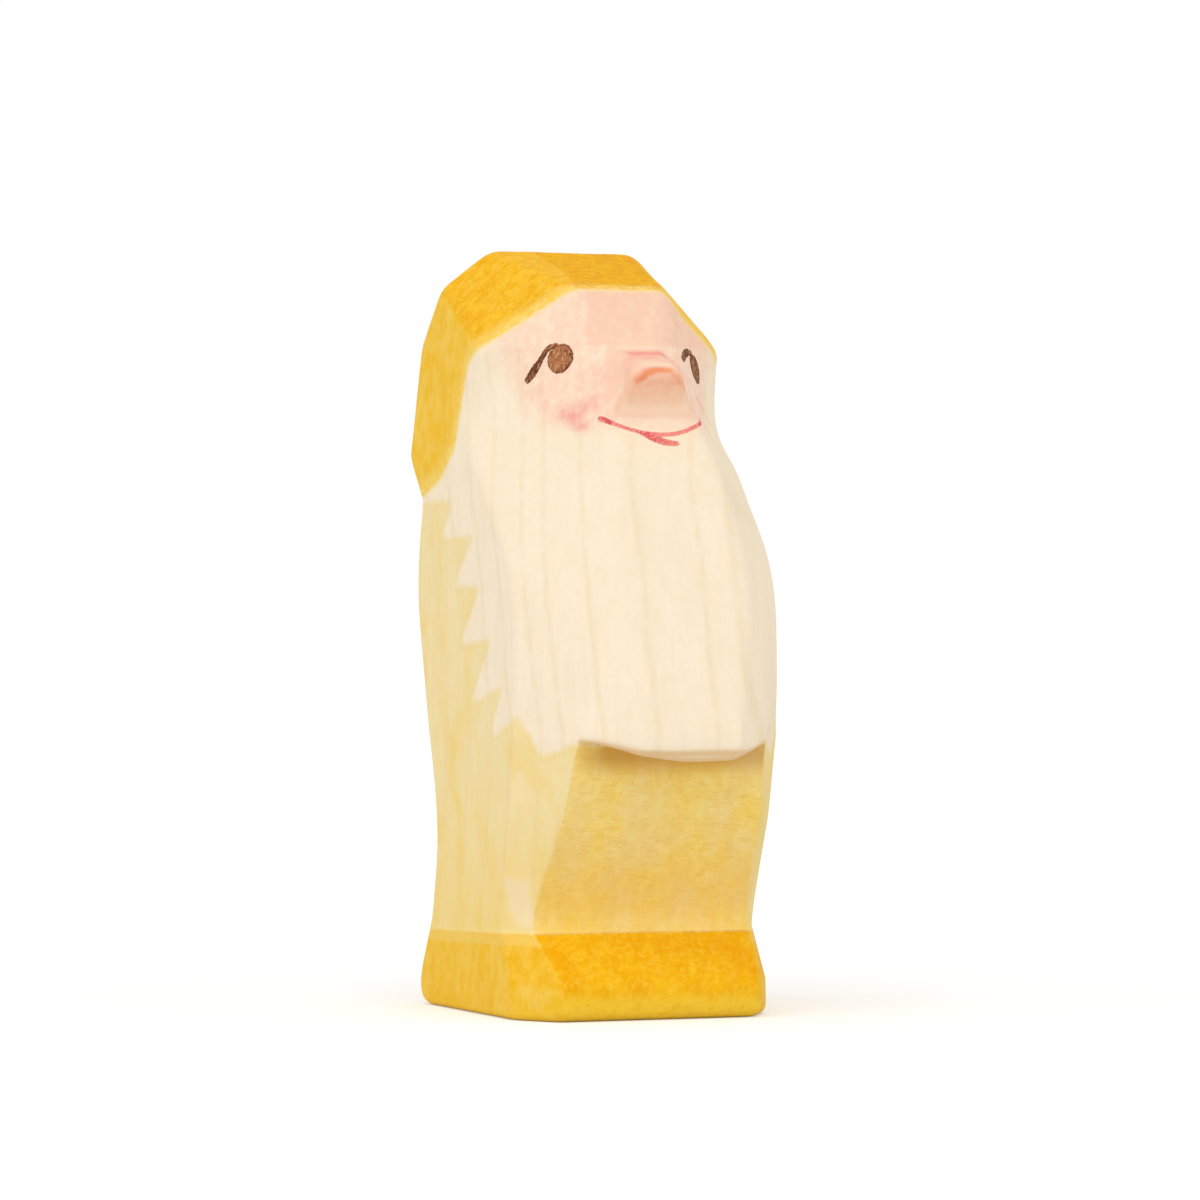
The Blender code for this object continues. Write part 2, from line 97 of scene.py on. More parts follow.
# How far the facets' edges stand from the middle
RIDGE_HALF = 0.745 * HALF_BOARD
CROWN_HALF = 0.605 * HALF_BOARD
FOREHEAD_HALF = 0.360 * HALF_BOARD
NOSE_ROOT_HALF = 0.185 * HALF_BOARD
NOSE_TIP_HALF = 0.171 * HALF_BOARD
NOSE_BASE_HALF = 0.301 * HALF_BOARD
LIP_CORNER_HALF = 0.356 * HALF_BOARD
ROBE_CORNER_HALF = 0.712 * HALF_BOARD
FOOT_CORNER_HALF = 0.753 * HALF_BOARD

# The depth of the flank's crease at the lip and at the foot, and over what height the robe's
# facet turns into the beard's
LIP_CREASE = 0.730 * DEPTH
FOOT_CREASE = 0.689 * DEPTH
FACET_TURN = 5.0

# How far the smaller cuts go, and how far the robe and the nose run on inside the figure
HOOD_CUT = 1.6
BACK_CHAMFER = 1.1
UNDERCUT_PAST_CORNER = 0.8
ROBE_UNDER_BEARD = 1.5
NOSE_ROOT_SUNK = 2.0
NOSE_BASE_SUNK = 1.6

# Radii over which the edges are rounded
BACK_ROUND = 0.3
CHAMFER_ROUND = 0.5
CROWN_ROUND = 0.5
SLOPE_ROUND = 0.9
REAR_ROUND = 1.0
BEARD_ROUND = 1.3
LIP_ROUND = 1.3
SOLE_ROUND = 1.1
NOSE_RIDGE_ROUND = 0.7
NOSE_TIP_ROUND = 1.3
NOSE_ROOT_ROUND = 1.0
NOSE_FILLET = 1.3

# Edges of the stains in the side view
HOOD_EDGE = [at(0.375, 0.843), at(0.355, 0.798), at(0.336, 0.733), at(0.243, 0.694)]
FACE_TEMPLE = at(0.511, 0.838)
CHIN = at(0.511, 0.723)
TUFTS = [
    at(0.345, 0.668), at(0.257, 0.619), at(0.480, 0.621), at(0.339, 0.555),
    at(0.525, 0.556), at(0.373, 0.476), at(0.591, 0.488), at(0.459, 0.404),
    at(0.664, 0.428), at(0.584, 0.360), at(0.745, 0.389), at(0.800, 0.338),
]
ROBE_BELOW_LIP = 1.2

# A distance well beyond the figure
FAR = 60.0


def smooth(points, steps=12):
    """Points along a smooth curve through every given point."""
    padded = [points[0], *points, points[-1]]
    out = []
    for before, start, end, after in zip(padded, padded[1:], padded[2:], padded[3:]):
        for step in range(steps):
            t = step / steps
            out.append(tuple(
                0.5 * (2 * b + (c - a) * t + (2 * a - 5 * b + 4 * c - d) * t ** 2
                       + (3 * b - a - 3 * c + d) * t ** 3)
                for a, b, c, d in zip(before, start, end, after)))
    out.append(points[-1])
    return out


UPPER_FRONT = [FOREHEAD, BROW] + smooth([MOUTH, CHEST, BREAST, BELLY, LIP])
LOWER_FRONT = smooth([UNDERCUT, LAP, HEM, ANKLE]) + smooth([ANKLE, TOE, SOLE_FRONT])[1:]
BACK_LINE = smooth([SOLE_BACK, HEEL, CALF, WAIST, SHOULDER, NAPE]) + [HOOD_BULGE, HOOD_BACK, CROWN]

# The depth that stands at the middle of the frame
MIDDLE = (max(depth for depth, _ in UPPER_FRONT) + HOOD_BULGE[0]) / 2

# Rows of height, crease depth on the flank and half width at the front
LOWER_CORNER = [
    (0.0, FOOT_CREASE, FOOT_CORNER_HALF),
    (TOE[1], FOOT_CREASE, FOOT_CORNER_HALF),
    (ANKLE[1], 0.611 * DEPTH, 0.829 * HALF_BOARD),
    (HEM[1], 0.627 * DEPTH, 0.801 * HALF_BOARD),
    (LAP[1], 0.695 * DEPTH, 0.747 * HALF_BOARD),
    (UNDERCUT[1], LIP_CREASE, ROBE_CORNER_HALF),
]
UPPER_CORNER = smooth([
    (LIP[1], LIP_CREASE, LIP_CORNER_HALF),
    (BREAST[1], 0.723 * DEPTH, 0.507 * HALF_BOARD),
    (CHEST[1], 0.539 * DEPTH, 0.425 * HALF_BOARD),
    (MOUTH[1], 0.395 * DEPTH, 0.342 * HALF_BOARD),
    (BROW[1], 0.443 * DEPTH, 0.301 * HALF_BOARD),
]) + [(FOREHEAD[1], 0.386 * DEPTH, FOREHEAD_HALF)]

# Rows of height and half width
FLANKS = [
    (0.0, HALF_BOARD - 0.3), (ANKLE[1], HALF_BOARD - 0.5), (UNDERCUT[1], HALF_BOARD),
    (CHEEK[1], HALF_BOARD), (FOREHEAD[1], HALF_BOARD - HOOD_CUT), (CROWN[1], HALF_BOARD - HOOD_CUT),
]

# Rows of height and the radius of the edges at the front
FRONT_ROUND = [
    (0.0, 0.7), (ANKLE[1], 0.4), (HEM[1], 0.12), (UNDERCUT[1], 0.12),
    (BREAST[1], 1.3), (MOUTH[1], 1.0), (BROW[1], 1.0),
]

# Places across, from one end of the lip to the other, and how far it hangs there below its line
LIP_HANG = smooth([
    (-10.4, 0.7), (-8.9, 0.25), (-6.8, 0.15), (-4.5, 0.45), (0.0, 1.03),
    (4.5, 0.95), (6.8, 0.95), (8.9, 0.75), (10.4, 0.85),
])


def read(rows, heights, column=1):
    """A column's value at each height, running on in a straight line past both ends."""
    rows = sorted(rows)
    known = np.array([row[0] for row in rows])
    values = np.array([row[column] for row in rows])
    low = values[0] + (values[1] - values[0]) / (known[1] - known[0]) * (-FAR - known[0])
    high = values[-1] + (values[-1] - values[-2]) / (known[-1] - known[-2]) * (2 * FAR - known[-1])
    known = np.concatenate(([-FAR], known, [2 * FAR]))
    values = np.concatenate(([low], values, [high]))
    return np.interp(heights, known, values)


def by_height(outline):
    return [(height, depth) for depth, height in outline]


def smax(a, b, k):
    """The larger of two distances, with the edge where they meet rounded over k."""
    h = np.maximum(k - np.abs(a - b), 0.0) / k
    return np.maximum(a, b) + h * h * k * 0.25


def smin(a, b, k):
    return -smax(-a, -b, k)


def step(values, low, high):
    """A smooth rise from 0 at the low value to 1 at the high one."""
    share = np.clip((values - low) / (high - low), 0.0, 1.0)
    return share * share * (3.0 - 2.0 * share)


def outline_distance(depth, height, outline, sign):
    """How far a point stands outside a line of the side view that is read by height."""
    rows = by_height(outline)
    line = read(rows, height)
    slope = read(rows, height + 0.5) - read(rows, height - 0.5)
    return sign * (depth - line) / np.sqrt(1.0 + slope ** 2)


def facet_distance(across, depth, flank, front):
    """How far a point stands outside the level line from a flank point to a front point."""
    run = (front[1] - flank[1], flank[0] - front[0])
    length = np.sqrt(run[0] ** 2 + run[1] ** 2)
    return ((across - flank[0]) * run[0] + (depth - flank[1]) * run[1]) / length


def plane_distance(across, depth, height, points):
    """How far a point stands outside the plane through three points of (across, depth, height)."""
    a, b, c = (np.array(point) for point in points)
    n = np.cross(b - a, c - a)
    n /= np.linalg.norm(n)
    if np.dot(n, a - np.array((0.0, *CHEEK))) < 0:
        n = -n
    return (across - a[0]) * n[0] + (depth - a[1]) * n[1] + (height - a[2]) * n[2]


def line_distance(depth, height, start, end):
    """How far a point stands to the left of a line of the side view, in the direction of travel."""
    run = (end[0] - start[0], end[1] - start[1])
    length = math.hypot(*run)
    return (run[0] * (height - start[1]) - run[1] * (depth - start[0])) / length


def lip_corner():
    """Where along the lip's corner line the robe's top corner falls, and how far it stands proud."""
    flank = np.array((HALF_BOARD, LIP_CREASE))
    run = np.array((LIP_CORNER_HALF, LIP[0])) - flank
    corner = np.array((ROBE_CORNER_HALF, UNDERCUT[0])) - flank
    share = corner @ run / (run @ run)
    return share, abs(corner[0] * run[1] - corner[1] * run[0]) / np.linalg.norm(run)


LIP_SHARE, LIP_PROUD = lip_corner()
TEMPLE_CORNER = (float(read(FLANKS, TEMPLE[1])), *TEMPLE)
REAR_CORNER = (float(read(FLANKS, HOOD_REAR[1])), *HOOD_REAR)
HEAD_PLANES = [
    (((RIDGE_HALF, *RIDGE), TEMPLE_CORNER, (FOREHEAD_HALF, *FOREHEAD)), SLOPE_ROUND),
    (((RIDGE_HALF, *RIDGE), (CROWN_HALF, *CROWN), REAR_CORNER), REAR_ROUND),
]
NOSE_SIDE = ((NOSE_ROOT_HALF, *BROW), (NOSE_TIP_HALF, *NOSE_TIP), (NOSE_BASE_HALF, *NOSE_BASE))


def corner_facets(across, depth, height, half):
    """The cuts along the flank's front corner: the robe's one facet alone, and the whole run.

    The run is the robe's facet up to the undercut. Above that it turns into the beard's two
    facets, which run together at the mouth.
    """
    capped = np.minimum(height, UNDERCUT[1])
    robe_facet = facet_distance(
        across, depth, (half, read(LOWER_CORNER, capped)),
        (read(LOWER_CORNER, capped, 2), read(by_height(LOWER_FRONT), capped)))

    crease = read(UPPER_CORNER, height)
    front_half = read(UPPER_CORNER, height, 2)
    front_depth = read(by_height(UPPER_FRONT), height)
    fade = np.clip((MOUTH[1] - height) / (MOUTH[1] - LIP[1]), 0.0, 1.0)
    proud = LIP_PROUD * fade
    run = (front_half - half, front_depth - crease)
    length = np.sqrt(run[0] ** 2 + run[1] ** 2)
    middle = (half + run[0] * LIP_SHARE + run[1] / length * proud,
              crease + run[1] * LIP_SHARE - run[0] / length * proud)
    flank_facet = facet_distance(across, depth, (half, crease), middle)
    front_facet = facet_distance(across, depth, middle, (front_half, front_depth))

    turned = step(height, UNDERCUT[1], UNDERCUT[1] + FACET_TURN)
    facet = robe_facet + turned * (flank_facet - robe_facet)
    rounding = np.minimum(5.0 * fade, BEARD_ROUND) * step(height, UNDERCUT[1], UNDERCUT[1] + 4.0)
    return robe_facet, smax(facet, front_facet, 0.01 + rounding)


def nose_wedge(across, depth, height):
    """The distance of the wedge, which reaches into the face."""
    nose_top = line_distance(depth, height, NOSE_TIP, BROW) * -1.0
    nose_front = line_distance(depth, height, NOSE_BASE, NOSE_TIP) * -1.0
    nose_side = plane_distance(across, depth, height, NOSE_SIDE)
    nose = smax(smax(nose_top, nose_front, NOSE_TIP_ROUND), nose_side, NOSE_RIDGE_ROUND)
    inside = np.maximum(BROW[0] - NOSE_ROOT_SUNK - depth, NOSE_BASE[1] - NOSE_BASE_SUNK - height)
    return smax(nose, inside, NOSE_ROOT_ROUND)


def body_parts(across, depth, height):
    """The distances of the upper body, the lower body and the nose."""
    hang = np.interp(across, *zip(*LIP_HANG))
    across = np.abs(across)
    half = read(FLANKS, height)
    flank = across - half
    back = outline_distance(depth, height, BACK_LINE, -1.0)
    back_depth = read(by_height(BACK_LINE), height)
    back_facet = (flank + back_depth - depth + BACK_CHAMFER) / math.sqrt(2.0)
    shell = smax(smax(flank, back, BACK_ROUND), back_facet, CHAMFER_ROUND)
    robe_facet, side = corner_facets(across, depth, height, half)
    soft = np.interp(height, *zip(*FRONT_ROUND))

    front = outline_distance(depth, height, UPPER_FRONT, 1.0)
    upper = smax(smax(side, front, soft), shell, 0.5 * soft)
    upper = smax(upper, line_distance(depth, height, FOREHEAD, CROWN) * -1.0, CROWN_ROUND)
    for points, k in HEAD_PLANES:
        upper = smax(upper, plane_distance(across, depth, height, points), k)

    # The lip is undercut in front of the robe, and beside it the beard ends level
    beside = across - ROBE_CORNER_HALF - UNDERCUT_PAST_CORNER
    under = line_distance(depth, height, LIP, UNDERCUT) - hang
    upper = smax(upper, np.minimum(under, -beside), LIP_ROUND)
    upper = np.maximum(upper, np.minimum(UNDERCUT[1] - height, beside))

    robe_front = outline_distance(depth, height, LOWER_FRONT, 1.0)
    robe_side = np.where(height > UNDERCUT[1], side, robe_facet)
    lower = smax(smax(robe_front, robe_side, soft), shell, 0.5 * soft)
    lower = smax(lower, -height, SOLE_ROUND)
    robe_top = (depth - UNDERCUT[0] + height - UNDERCUT[1] - ROBE_UNDER_BEARD) / math.sqrt(2.0)
    return upper, np.maximum(lower, robe_top), nose_wedge(across, depth, height)


def figure(across, depth, height):
    """How far a point stands outside the figure, less than zero inside it."""
    upper, lower, nose = body_parts(across, depth, height)
    return smin(np.minimum(upper, lower), nose, NOSE_FILLET)


def surface():
    """Vertices (across, depth, height) in millimetres and quads of the whole figure."""
    low = np.array((-HALF_BOARD, 0.0, 0.0)) - MARGIN
    high = np.array((HALF_BOARD, DEPTH, HEIGHT)) + MARGIN
    counts = np.ceil((high - low) / VOXEL).astype(int) + 1
    axes = [low[i] + VOXEL * np.arange(counts[i]) for i in range(3)]
    field = np.empty(counts, dtype=np.float32)
    for index, across in enumerate(axes[0]):
        depth, height = np.meshgrid(axes[1], axes[2], indexing="ij")
        field[index] = figure(np.full_like(depth, across), depth, height)
    grid = openvdb.FloatGrid(1.0)
    grid.copyFromArray(np.clip(field, -1.0, 1.0))
    points, quads = grid.convertToQuads(0.0)
    return np.asarray(points, dtype=float) * VOXEL + low, np.asarray(quads)


def polygon_distance(depth, height, outline):
    """The distance to a closed outline of the side view, more than zero inside it."""
    best = np.full(depth.shape, np.inf)
    inside = np.zeros(depth.shape, dtype=bool)
    for start, end in zip(outline, outline[1:] + outline[:1]):
        run = (end[0] - start[0], end[1] - start[1])
        share = ((depth - start[0]) * run[0] + (height - start[1]) * run[1]) / (
            run[0] ** 2 + run[1] ** 2)
        share = np.clip(share, 0.0, 1.0)
        best = np.minimum(best, np.hypot(depth - start[0] - share * run[0],
                                         height - start[1] - share * run[1]))
        if start[1] != end[1]:
            crossing = (start[1] > height) != (end[1] > height)
            meets = start[0] + (height - start[1]) / (end[1] - start[1]) * run[0]
            inside ^= crossing & (depth < meets)
    return np.where(inside, best, -best)


def past(start, end):
    """A point far beyond the end of a line."""
    length = math.dist(start, end)
    return (end[0] + (end[0] - start[0]) / length * FAR, end[1] + (end[1] - start[1]) / length * FAR)


HOOD_OUTLINE = [past(TEMPLE, FOREHEAD), TEMPLE, *HOOD_EDGE, past(HOOD_EDGE[-1], NAPE),
                (-FAR, HEIGHT + FAR)]
FACE_OUTLINE = [(TEMPLE[0], FOREHEAD[1]), FACE_TEMPLE, CHIN, (DEPTH + FAR, CHIN[1]),
                (DEPTH + FAR, HEIGHT + FAR)]
ROBE_OUTLINE = [(-FAR, TUFTS[0][1]), *TUFTS, (UNDERCUT[0], UNDERCUT[1] - 0.1),
                (LIP[0], LIP[1] - ROBE_BELOW_LIP), (FAR, LIP[1] - ROBE_BELOW_LIP), (FAR, -FAR),
                (-FAR, -FAR)]
PINK_OUTLINE = [(17.0, 77.0), (20.0, 70.0), (21.0, 68.8), (23.1, 63.6), (26.5, 60.9), (34.0, 60.4),
                (FAR, 60.3), (FAR, HEIGHT + FAR)]

# Where the growth rings cross the front, and how wide a ring shows
RINGS = [-43.0, -38.0, -33.2, -28.2, -24.1, -19.6, -16.4, -10.7, -3.9, 2.6, 6.2, 11.0, 15.5, 19.0]
RING_WIDTH = 0.7

# Soft marks, each a line of (across, depth, height), its radius and its strength: pink on the
# face, orange on the nose, painted highlights on the brow and the nose, darker stain on the foot
# and worn patches on the robe
BLUSHES = [
    ([(-7.6, 28.8, 62.0), (-6.9, 29.8, 62.2), (-6.2, 30.7, 62.6), (-5.5, 31.5, 63.0)], 0.95, 0.55),
    ([(-7.5, 28.9, 61.8), (-7.3, 29.7, 61.4), (-6.95, 31.0, 60.7), (-6.6, 31.7, 60.7)], 0.7, 0.6),
    ([(-7.3, 29.3, 61.8), (-6.9, 30.2, 61.7)], 0.8, 0.72),
    ([(-5.5, 31.5, 63.0), (-5.1, 31.8, 63.8)], 0.75, 0.35),
    ([(7.6, 27.4, 63.9), (9.0, 25.6, 62.7)], 0.45, 0.45),
    ([(9.0, 25.6, 62.7), (10.8, 23.4, 61.2)], 0.22, 0.55),
    ([(-0.8, 30.8, 68.2), (0.2, 30.6, 68.3), (1.6, 30.6, 68.3), (2.9, 29.9, 68.3)], 0.82, 0.95),
    ([(-1.1, 31.7, 67.9), (1.0, 31.8, 67.8)], 0.85, 0.5),
    ([(2.9, 29.9, 68.2), (4.3, 29.2, 67.6), (4.7, 29.4, 66.9), (5.0, 29.6, 66.2)], 0.65, 0.4),
    ([(-1.2, 31.3, 68.0), (-2.0, 32.5, 67.2), (-2.6, 34.2, 66.1)], 0.7, 0.4),
    ([(-4.2, 30.4, 66.0), (-4.8, 31.4, 64.4)], 1.6, 0.2),
]
FLUSHES = [
    ([(-2.3, 35.3, 65.2), (-1.3, 35.5, 66.0), (-0.1, 35.2, 66.5), (1.2, 35.3, 66.4)], 0.58, 1.0),
    ([(1.2, 35.3, 66.4), (1.9, 35.5, 65.7), (2.8, 35.0, 64.8)], 0.55, 0.7),
    ([(-2.4, 35.2, 64.8), (-1.0, 35.3, 65.0), (2.4, 35.2, 65.3)], 1.0, 0.5),
    ([(-2.6, 34.9, 64.3), (2.3, 34.8, 64.3)], 1.3, 0.36),
    ([(-3.9, 34.0, 62.7), (-3.4, 34.3, 63.9), (-2.5, 35.0, 65.0)], 0.42, 0.4),
]
# Painted highlights: on the nose's top, below the brow and beside the nose
PAINTED_HIGHLIGHTS = [
    ([(-0.9, 33.8, 67.0), (2.2, 33.8, 66.9)], 0.55, 0.55),
    ([(-1.5, 29.2, 69.0), (3.6, 29.2, 69.0)], 0.6, 0.6),
    ([(-3.6, 33.9, 64.4), (-4.5, 33.5, 62.7)], 0.5, 0.6),
]
DEEPS = [
    ([(-10.4, 33.2, 7.6), (-9.8, 35.2, 4.2)], 1.0, 0.8),
    ([(8.6, 33.0, 7.8), (10.8, 35.2, 5.0)], 1.9, 0.75),
    ([(1.0, 33.0, 7.6), (3.6, 33.4, 7.2)], 0.8, 0.45),
]
PATCHES = [
    ([(-13.2, 29.4, 13.2), (-12.9, 29.9, 10.8)], 1.7, 1.0),
    ([(13.4, 29.6, 13.8), (13.2, 28.9, 11.0)], 1.0, 0.7),
]


def to_world(across, depth, height):
    return np.stack((across, MIDDLE - depth, height), axis=-1) * MM


def lattice(points, size, seed):
    """Smooth noise from -1 to 1, with lumps of a size in millimetres along each axis."""
    table = np.random.default_rng(seed).uniform(-1.0, 1.0, (CELLS, CELLS, CELLS))
    place = points / np.array(size) + CELLS / 2
    cell = np.floor(place).astype(int)
    share = place - cell
    share = share * share * (3.0 - 2.0 * share)
    total = np.zeros(len(points))
    for corner in range(8):
        offset = np.array(((corner >> 2) & 1, (corner >> 1) & 1, corner & 1))
        weight = np.prod(np.where(offset, share, 1.0 - share), axis=1)
        index = (cell + offset) % CELLS
        total += weight * table[index[:, 0], index[:, 1], index[:, 2]]
    return total


def spread(values, edges, rounds):
    """Values evened out over neighbouring points."""
    count = np.zeros(len(values))
    np.add.at(count, edges.ravel(), 1.0)
    for _ in range(rounds):
        total = np.zeros(len(values))
        np.add.at(total, edges[:, 0], values[edges[:, 1]])
        np.add.at(total, edges[:, 1], values[edges[:, 0]])
        values = 0.5 * values + 0.5 * total / count
    return values


def normals_of(points, quads):
    """The surface's direction at each point, evened out over the quads around it."""
    across = points[quads[:, 2]] - points[quads[:, 0]]
    along = points[quads[:, 3]] - points[quads[:, 1]]
    face = np.cross(across, along)
    total = np.zeros_like(points)
    for column in range(4):
        np.add.at(total, quads[:, column], face)
    return total / np.linalg.norm(total, axis=1, keepdims=True)


def soft_marks(points, marks):
    """How strongly lines of soft pigment show at each point."""
    total = np.zeros(len(points))
    for line, radius, strength in marks:
        best = np.full(len(points), np.inf)
        for start, end in zip(line, line[1:]):
            start, end = np.array(start), np.array(end)
            run = end - start
            share = np.clip((points - start) @ run / (run @ run), 0.0, 1.0)
            best = np.minimum(best, np.linalg.norm(points - start - share[:, None] * run, axis=1))
        total = np.maximum(total, strength * np.exp(-(best / radius) ** 2))
    return total


points, quads = surface()
edges = np.concatenate([quads[:, (i, (i + 1) % 4)] for i in range(4)])
edges = np.unique(np.sort(edges, axis=1), axis=0)
normals = normals_of(points, quads)

# The faces turn outwards
centre = points.mean(axis=0)
if ((points - centre) * normals).sum() < 0:
    quads = quads[:, ::-1]
    normals = -normals

# How sharply the surface bends, more than zero along an edge and less in a hollow
mean = np.zeros_like(points)
count = np.zeros(len(points))
for a, b in ((0, 1), (1, 0)):
    np.add.at(mean, edges[:, a], points[edges[:, b]])
    np.add.at(count, edges[:, a], 1.0)
bend = -((mean / count[:, None] - points) * normals).sum(axis=1) / VOXEL ** 2
bend = spread(bend, edges, 4)

# The knife leaves the facets slightly uneven, and the sole stays flat
knife = sum(lattice(points, size, seed) * cut for size, seed, cut in KNIFE_MARKS)
knife *= step(points[:, 2], 0.5, 2.0)
points = points + normals * knife[:, None]

# What the material reads at each point: the distance inside the edge of a stain, in millimetres,
# or how strongly a mark shows. The strip is the deeper pink above the brow, the mark under the lip
# is painted shade below its overhang, and crown is the edge of the amber on top of the hood. The
# bend also lays a painted highlight along the hood's ridges.
across, depth, height = points.T
upper, lower, nose = body_parts(across, depth, height)
body = np.minimum(upper, lower)
flat_front = step(-np.abs(normals[:, 0]), -0.5, -0.3) * (normals[:, 1] > 0)
strip_left = -5.2 + (height - 69.2) * 0.2
heel_rise = 0.03 * np.maximum(29.0 - depth, 0.0)
side_rise = 0.01 * np.maximum(across, 0.0)
marks = {
    "hood": spread(polygon_distance(depth, height, HOOD_OUTLINE), edges, 40)
            + 0.9 * step(across, 5.0, 8.0),
    "robe": spread(polygon_distance(depth, height, ROBE_OUTLINE), edges, 10),
    "foot": ANKLE[1] - 0.35 - heel_rise - side_rise - height,
    "pink": polygon_distance(depth, height, PINK_OUTLINE),
    "edge": bend,
    "front": spread(flat_front, edges, 1),
    "crown": across + 3.2 + 0.0145 * np.maximum(depth - 14.0, 0.0) ** 2,
    "strip": step(across, strip_left, strip_left + 0.6) * step(height, 69.0, 69.3)
             * (depth < 31.0),
    # Painted shade below the lip's overhang, on the front of the robe
    "lip_shade": step(height, 24.4, 27.2) * step(across, -12.5, -6.0) * flat_front * (lower < upper),
    "patch": soft_marks(points, PATCHES),
    "blush": soft_marks(points, BLUSHES),
    "flush": soft_marks(points, FLUSHES),
    "painted_highlight": soft_marks(points, PAINTED_HIGHLIGHTS),
    "deep": soft_marks(points, DEEPS),
    "nose": spread(step(body - nose, -0.25, 0.15), edges, 1),
}

# Which quads belong to which piece
middles = points[quads].mean(axis=1)
side_view = middles[:, 1], middles[:, 2]
in_hood = polygon_distance(*side_view, HOOD_OUTLINE) > 0
in_face = (polygon_distance(*side_view, FACE_OUTLINE) > 0) & ~in_hood
in_nose = in_face & (body > nose)[quads].all(axis=1)
in_feet = middles[:, 2] < ANKLE[1]
in_robe = (polygon_distance(*side_view, ROBE_OUTLINE) > 0) & ~in_feet & ~in_hood & ~in_face
zones = {
    "hood": in_hood,
    "nose": in_nose,
    "face": in_face & ~in_nose,
    "feet": in_feet,
    "robe": in_robe,
    "beard": ~(in_hood | in_face | in_feet | in_robe),
}


def make_piece(name, chosen):
    """One zone of the surface as an object, with its marks as attributes of its points."""
    used, faces = np.unique(quads[chosen], return_inverse=True)
    faces = faces.reshape(-1, 4)
    mesh = bpy.data.meshes.new(name)
    mesh.vertices.add(len(used))
    mesh.vertices.foreach_set("co", to_world(*points[used].T).ravel())
    mesh.loops.add(faces.size)
    mesh.loops.foreach_set("vertex_index", faces.ravel())
    mesh.polygons.add(len(faces))
    mesh.polygons.foreach_set("loop_start", np.arange(0, faces.size, 4))
    mesh.update(calc_edges=True)
    mesh.validate()
    mesh.shade_smooth()
    for key, values in marks.items():
        attribute = mesh.attributes.new(key, "FLOAT", "POINT")
        attribute.data.foreach_set("value", values[used].astype(np.float32))
    obj = bpy.data.objects.new(name, mesh)
    bpy.context.scene.collection.objects.link(obj)
    return obj


def linear(red, green, blue):
    """A colour as it shows on screen, from 0 to 255, as the shader's own values."""
    return tuple(v / 12.92 if v <= 0.04045 else ((v + 0.055) / 1.055) ** 2.4
                 for v in (red / 255, green / 255, blue / 255)) + (1.0,)


class Graph:
    """Short names for a material's nodes."""

    def __init__(self, name):
        self.material = bpy.data.materials.new(name)
        self.material.use_nodes = True
        self.tree = self.material.node_tree
        self.shader = self.tree.nodes["Principled BSDF"]

    def put(self, socket, value):
        if isinstance(value, bpy.types.NodeSocket):
            self.tree.links.new(value, socket)
        else:
            socket.default_value = value

    def add(self, kind, inputs, **settings):
        node = self.tree.nodes.new(kind)
        for key, value in settings.items():
            setattr(node, key, value)
        for key, value in inputs.items():
            self.put(node.inputs[key], value)
        return node

    def math(self, operation, *values):
        return self.add("ShaderNodeMath", dict(enumerate(values)), operation=operation).outputs[0]

    def step(self, value, low, high, to_low=0.0, to_high=1.0):
        return self.add("ShaderNodeMapRange", {
            "Value": value, "From Min": low, "From Max": high, "To Min": to_low, "To Max": to_high,
        }, interpolation_type="SMOOTHSTEP").outputs[0]

    def times(self, a, b):
        return self.math("MULTIPLY", a, b)

    def plus(self, a, b):
        return self.math("ADD", a, b)

    def mix(self, factor, a, b):
        return self.add("ShaderNodeMix", {0: factor, 6: a, 7: b}, data_type="RGBA").outputs[2]

    def fade(self, pattern, low, high, first, second):
        """One tone that turns into a second as a pattern rises from low to high."""
        return self.mix(self.step(pattern, low, high), linear(*first), linear(*second))

    def tint(self, base, strength, tone):
        return self.mix(strength, base, linear(*tone))

    def tints(self, base, *rows):
        """A colour with tones laid over it, one after the other.

        A row gives a pattern, a low and a high value of it, how strong the tone is at each, and
        the tone.
        """
        for pattern, low, high, at_low, at_high, tone in rows:
            base = self.tint(base, self.step(pattern, low, high, at_low, at_high), tone)
        return base

    def mark(self, name):
        return self.add("ShaderNodeAttribute", {}, attribute_name=name).outputs["Fac"]

    def stretched(self, scale):
        """The place on the figure in millimetres, times a scale along each axis."""
        place = self.add("ShaderNodeTexCoord", {}).outputs["Object"]
        node = self.add("ShaderNodeVectorMath", {
            0: place, 1: tuple(value / MM for value in scale)}, operation="MULTIPLY")
        return node.outputs[0]

    def strokes(self, degrees, along, aside):
        """Noise drawn out into strokes that lie at an angle on the front."""
        turned = self.add("ShaderNodeVectorRotate", {
            "Vector": self.stretched((1.0, 1.0, 1.0)), "Axis": (0.0, 1.0, 0.0),
            "Angle": math.radians(degrees)}).outputs[0]
        scaled = self.add("ShaderNodeVectorMath", {
            0: turned, 1: (along, aside, aside)}, operation="MULTIPLY").outputs[0]
        return self.add("ShaderNodeTexNoise", {
            "Vector": scaled, "Scale": 1.0, "Detail": 3.0, "Roughness": 0.6}).outputs[0]

    def noise(self, scale, detail=2.0, roughness=0.5, distortion=0.0):
        return self.add("ShaderNodeTexNoise", {
            "Vector": self.stretched(scale), "Scale": 1.0, "Detail": detail,
            "Roughness": roughness, "Distortion": distortion}).outputs[0]

    def sway(self, span, scale, *texture):
        """Noise that runs as far below zero as above it."""
        return self.math("MULTIPLY_ADD", self.noise(scale, *texture), span, -span / 2)

    def finish(self, colour, roughness, specular, relief, relief_height):
        """Sets the shader, and returns the material."""
        self.put(self.shader.inputs["Base Color"], colour)
        self.put(self.shader.inputs["Roughness"], roughness)
        self.put(self.shader.inputs["Specular IOR Level"], specular)
        bump = self.add("ShaderNodeBump", {
            "Height": relief, "Strength": 0.3, "Distance": relief_height * MM})
        self.put(self.shader.inputs["Normal"], bump.outputs[0])
        return self.material


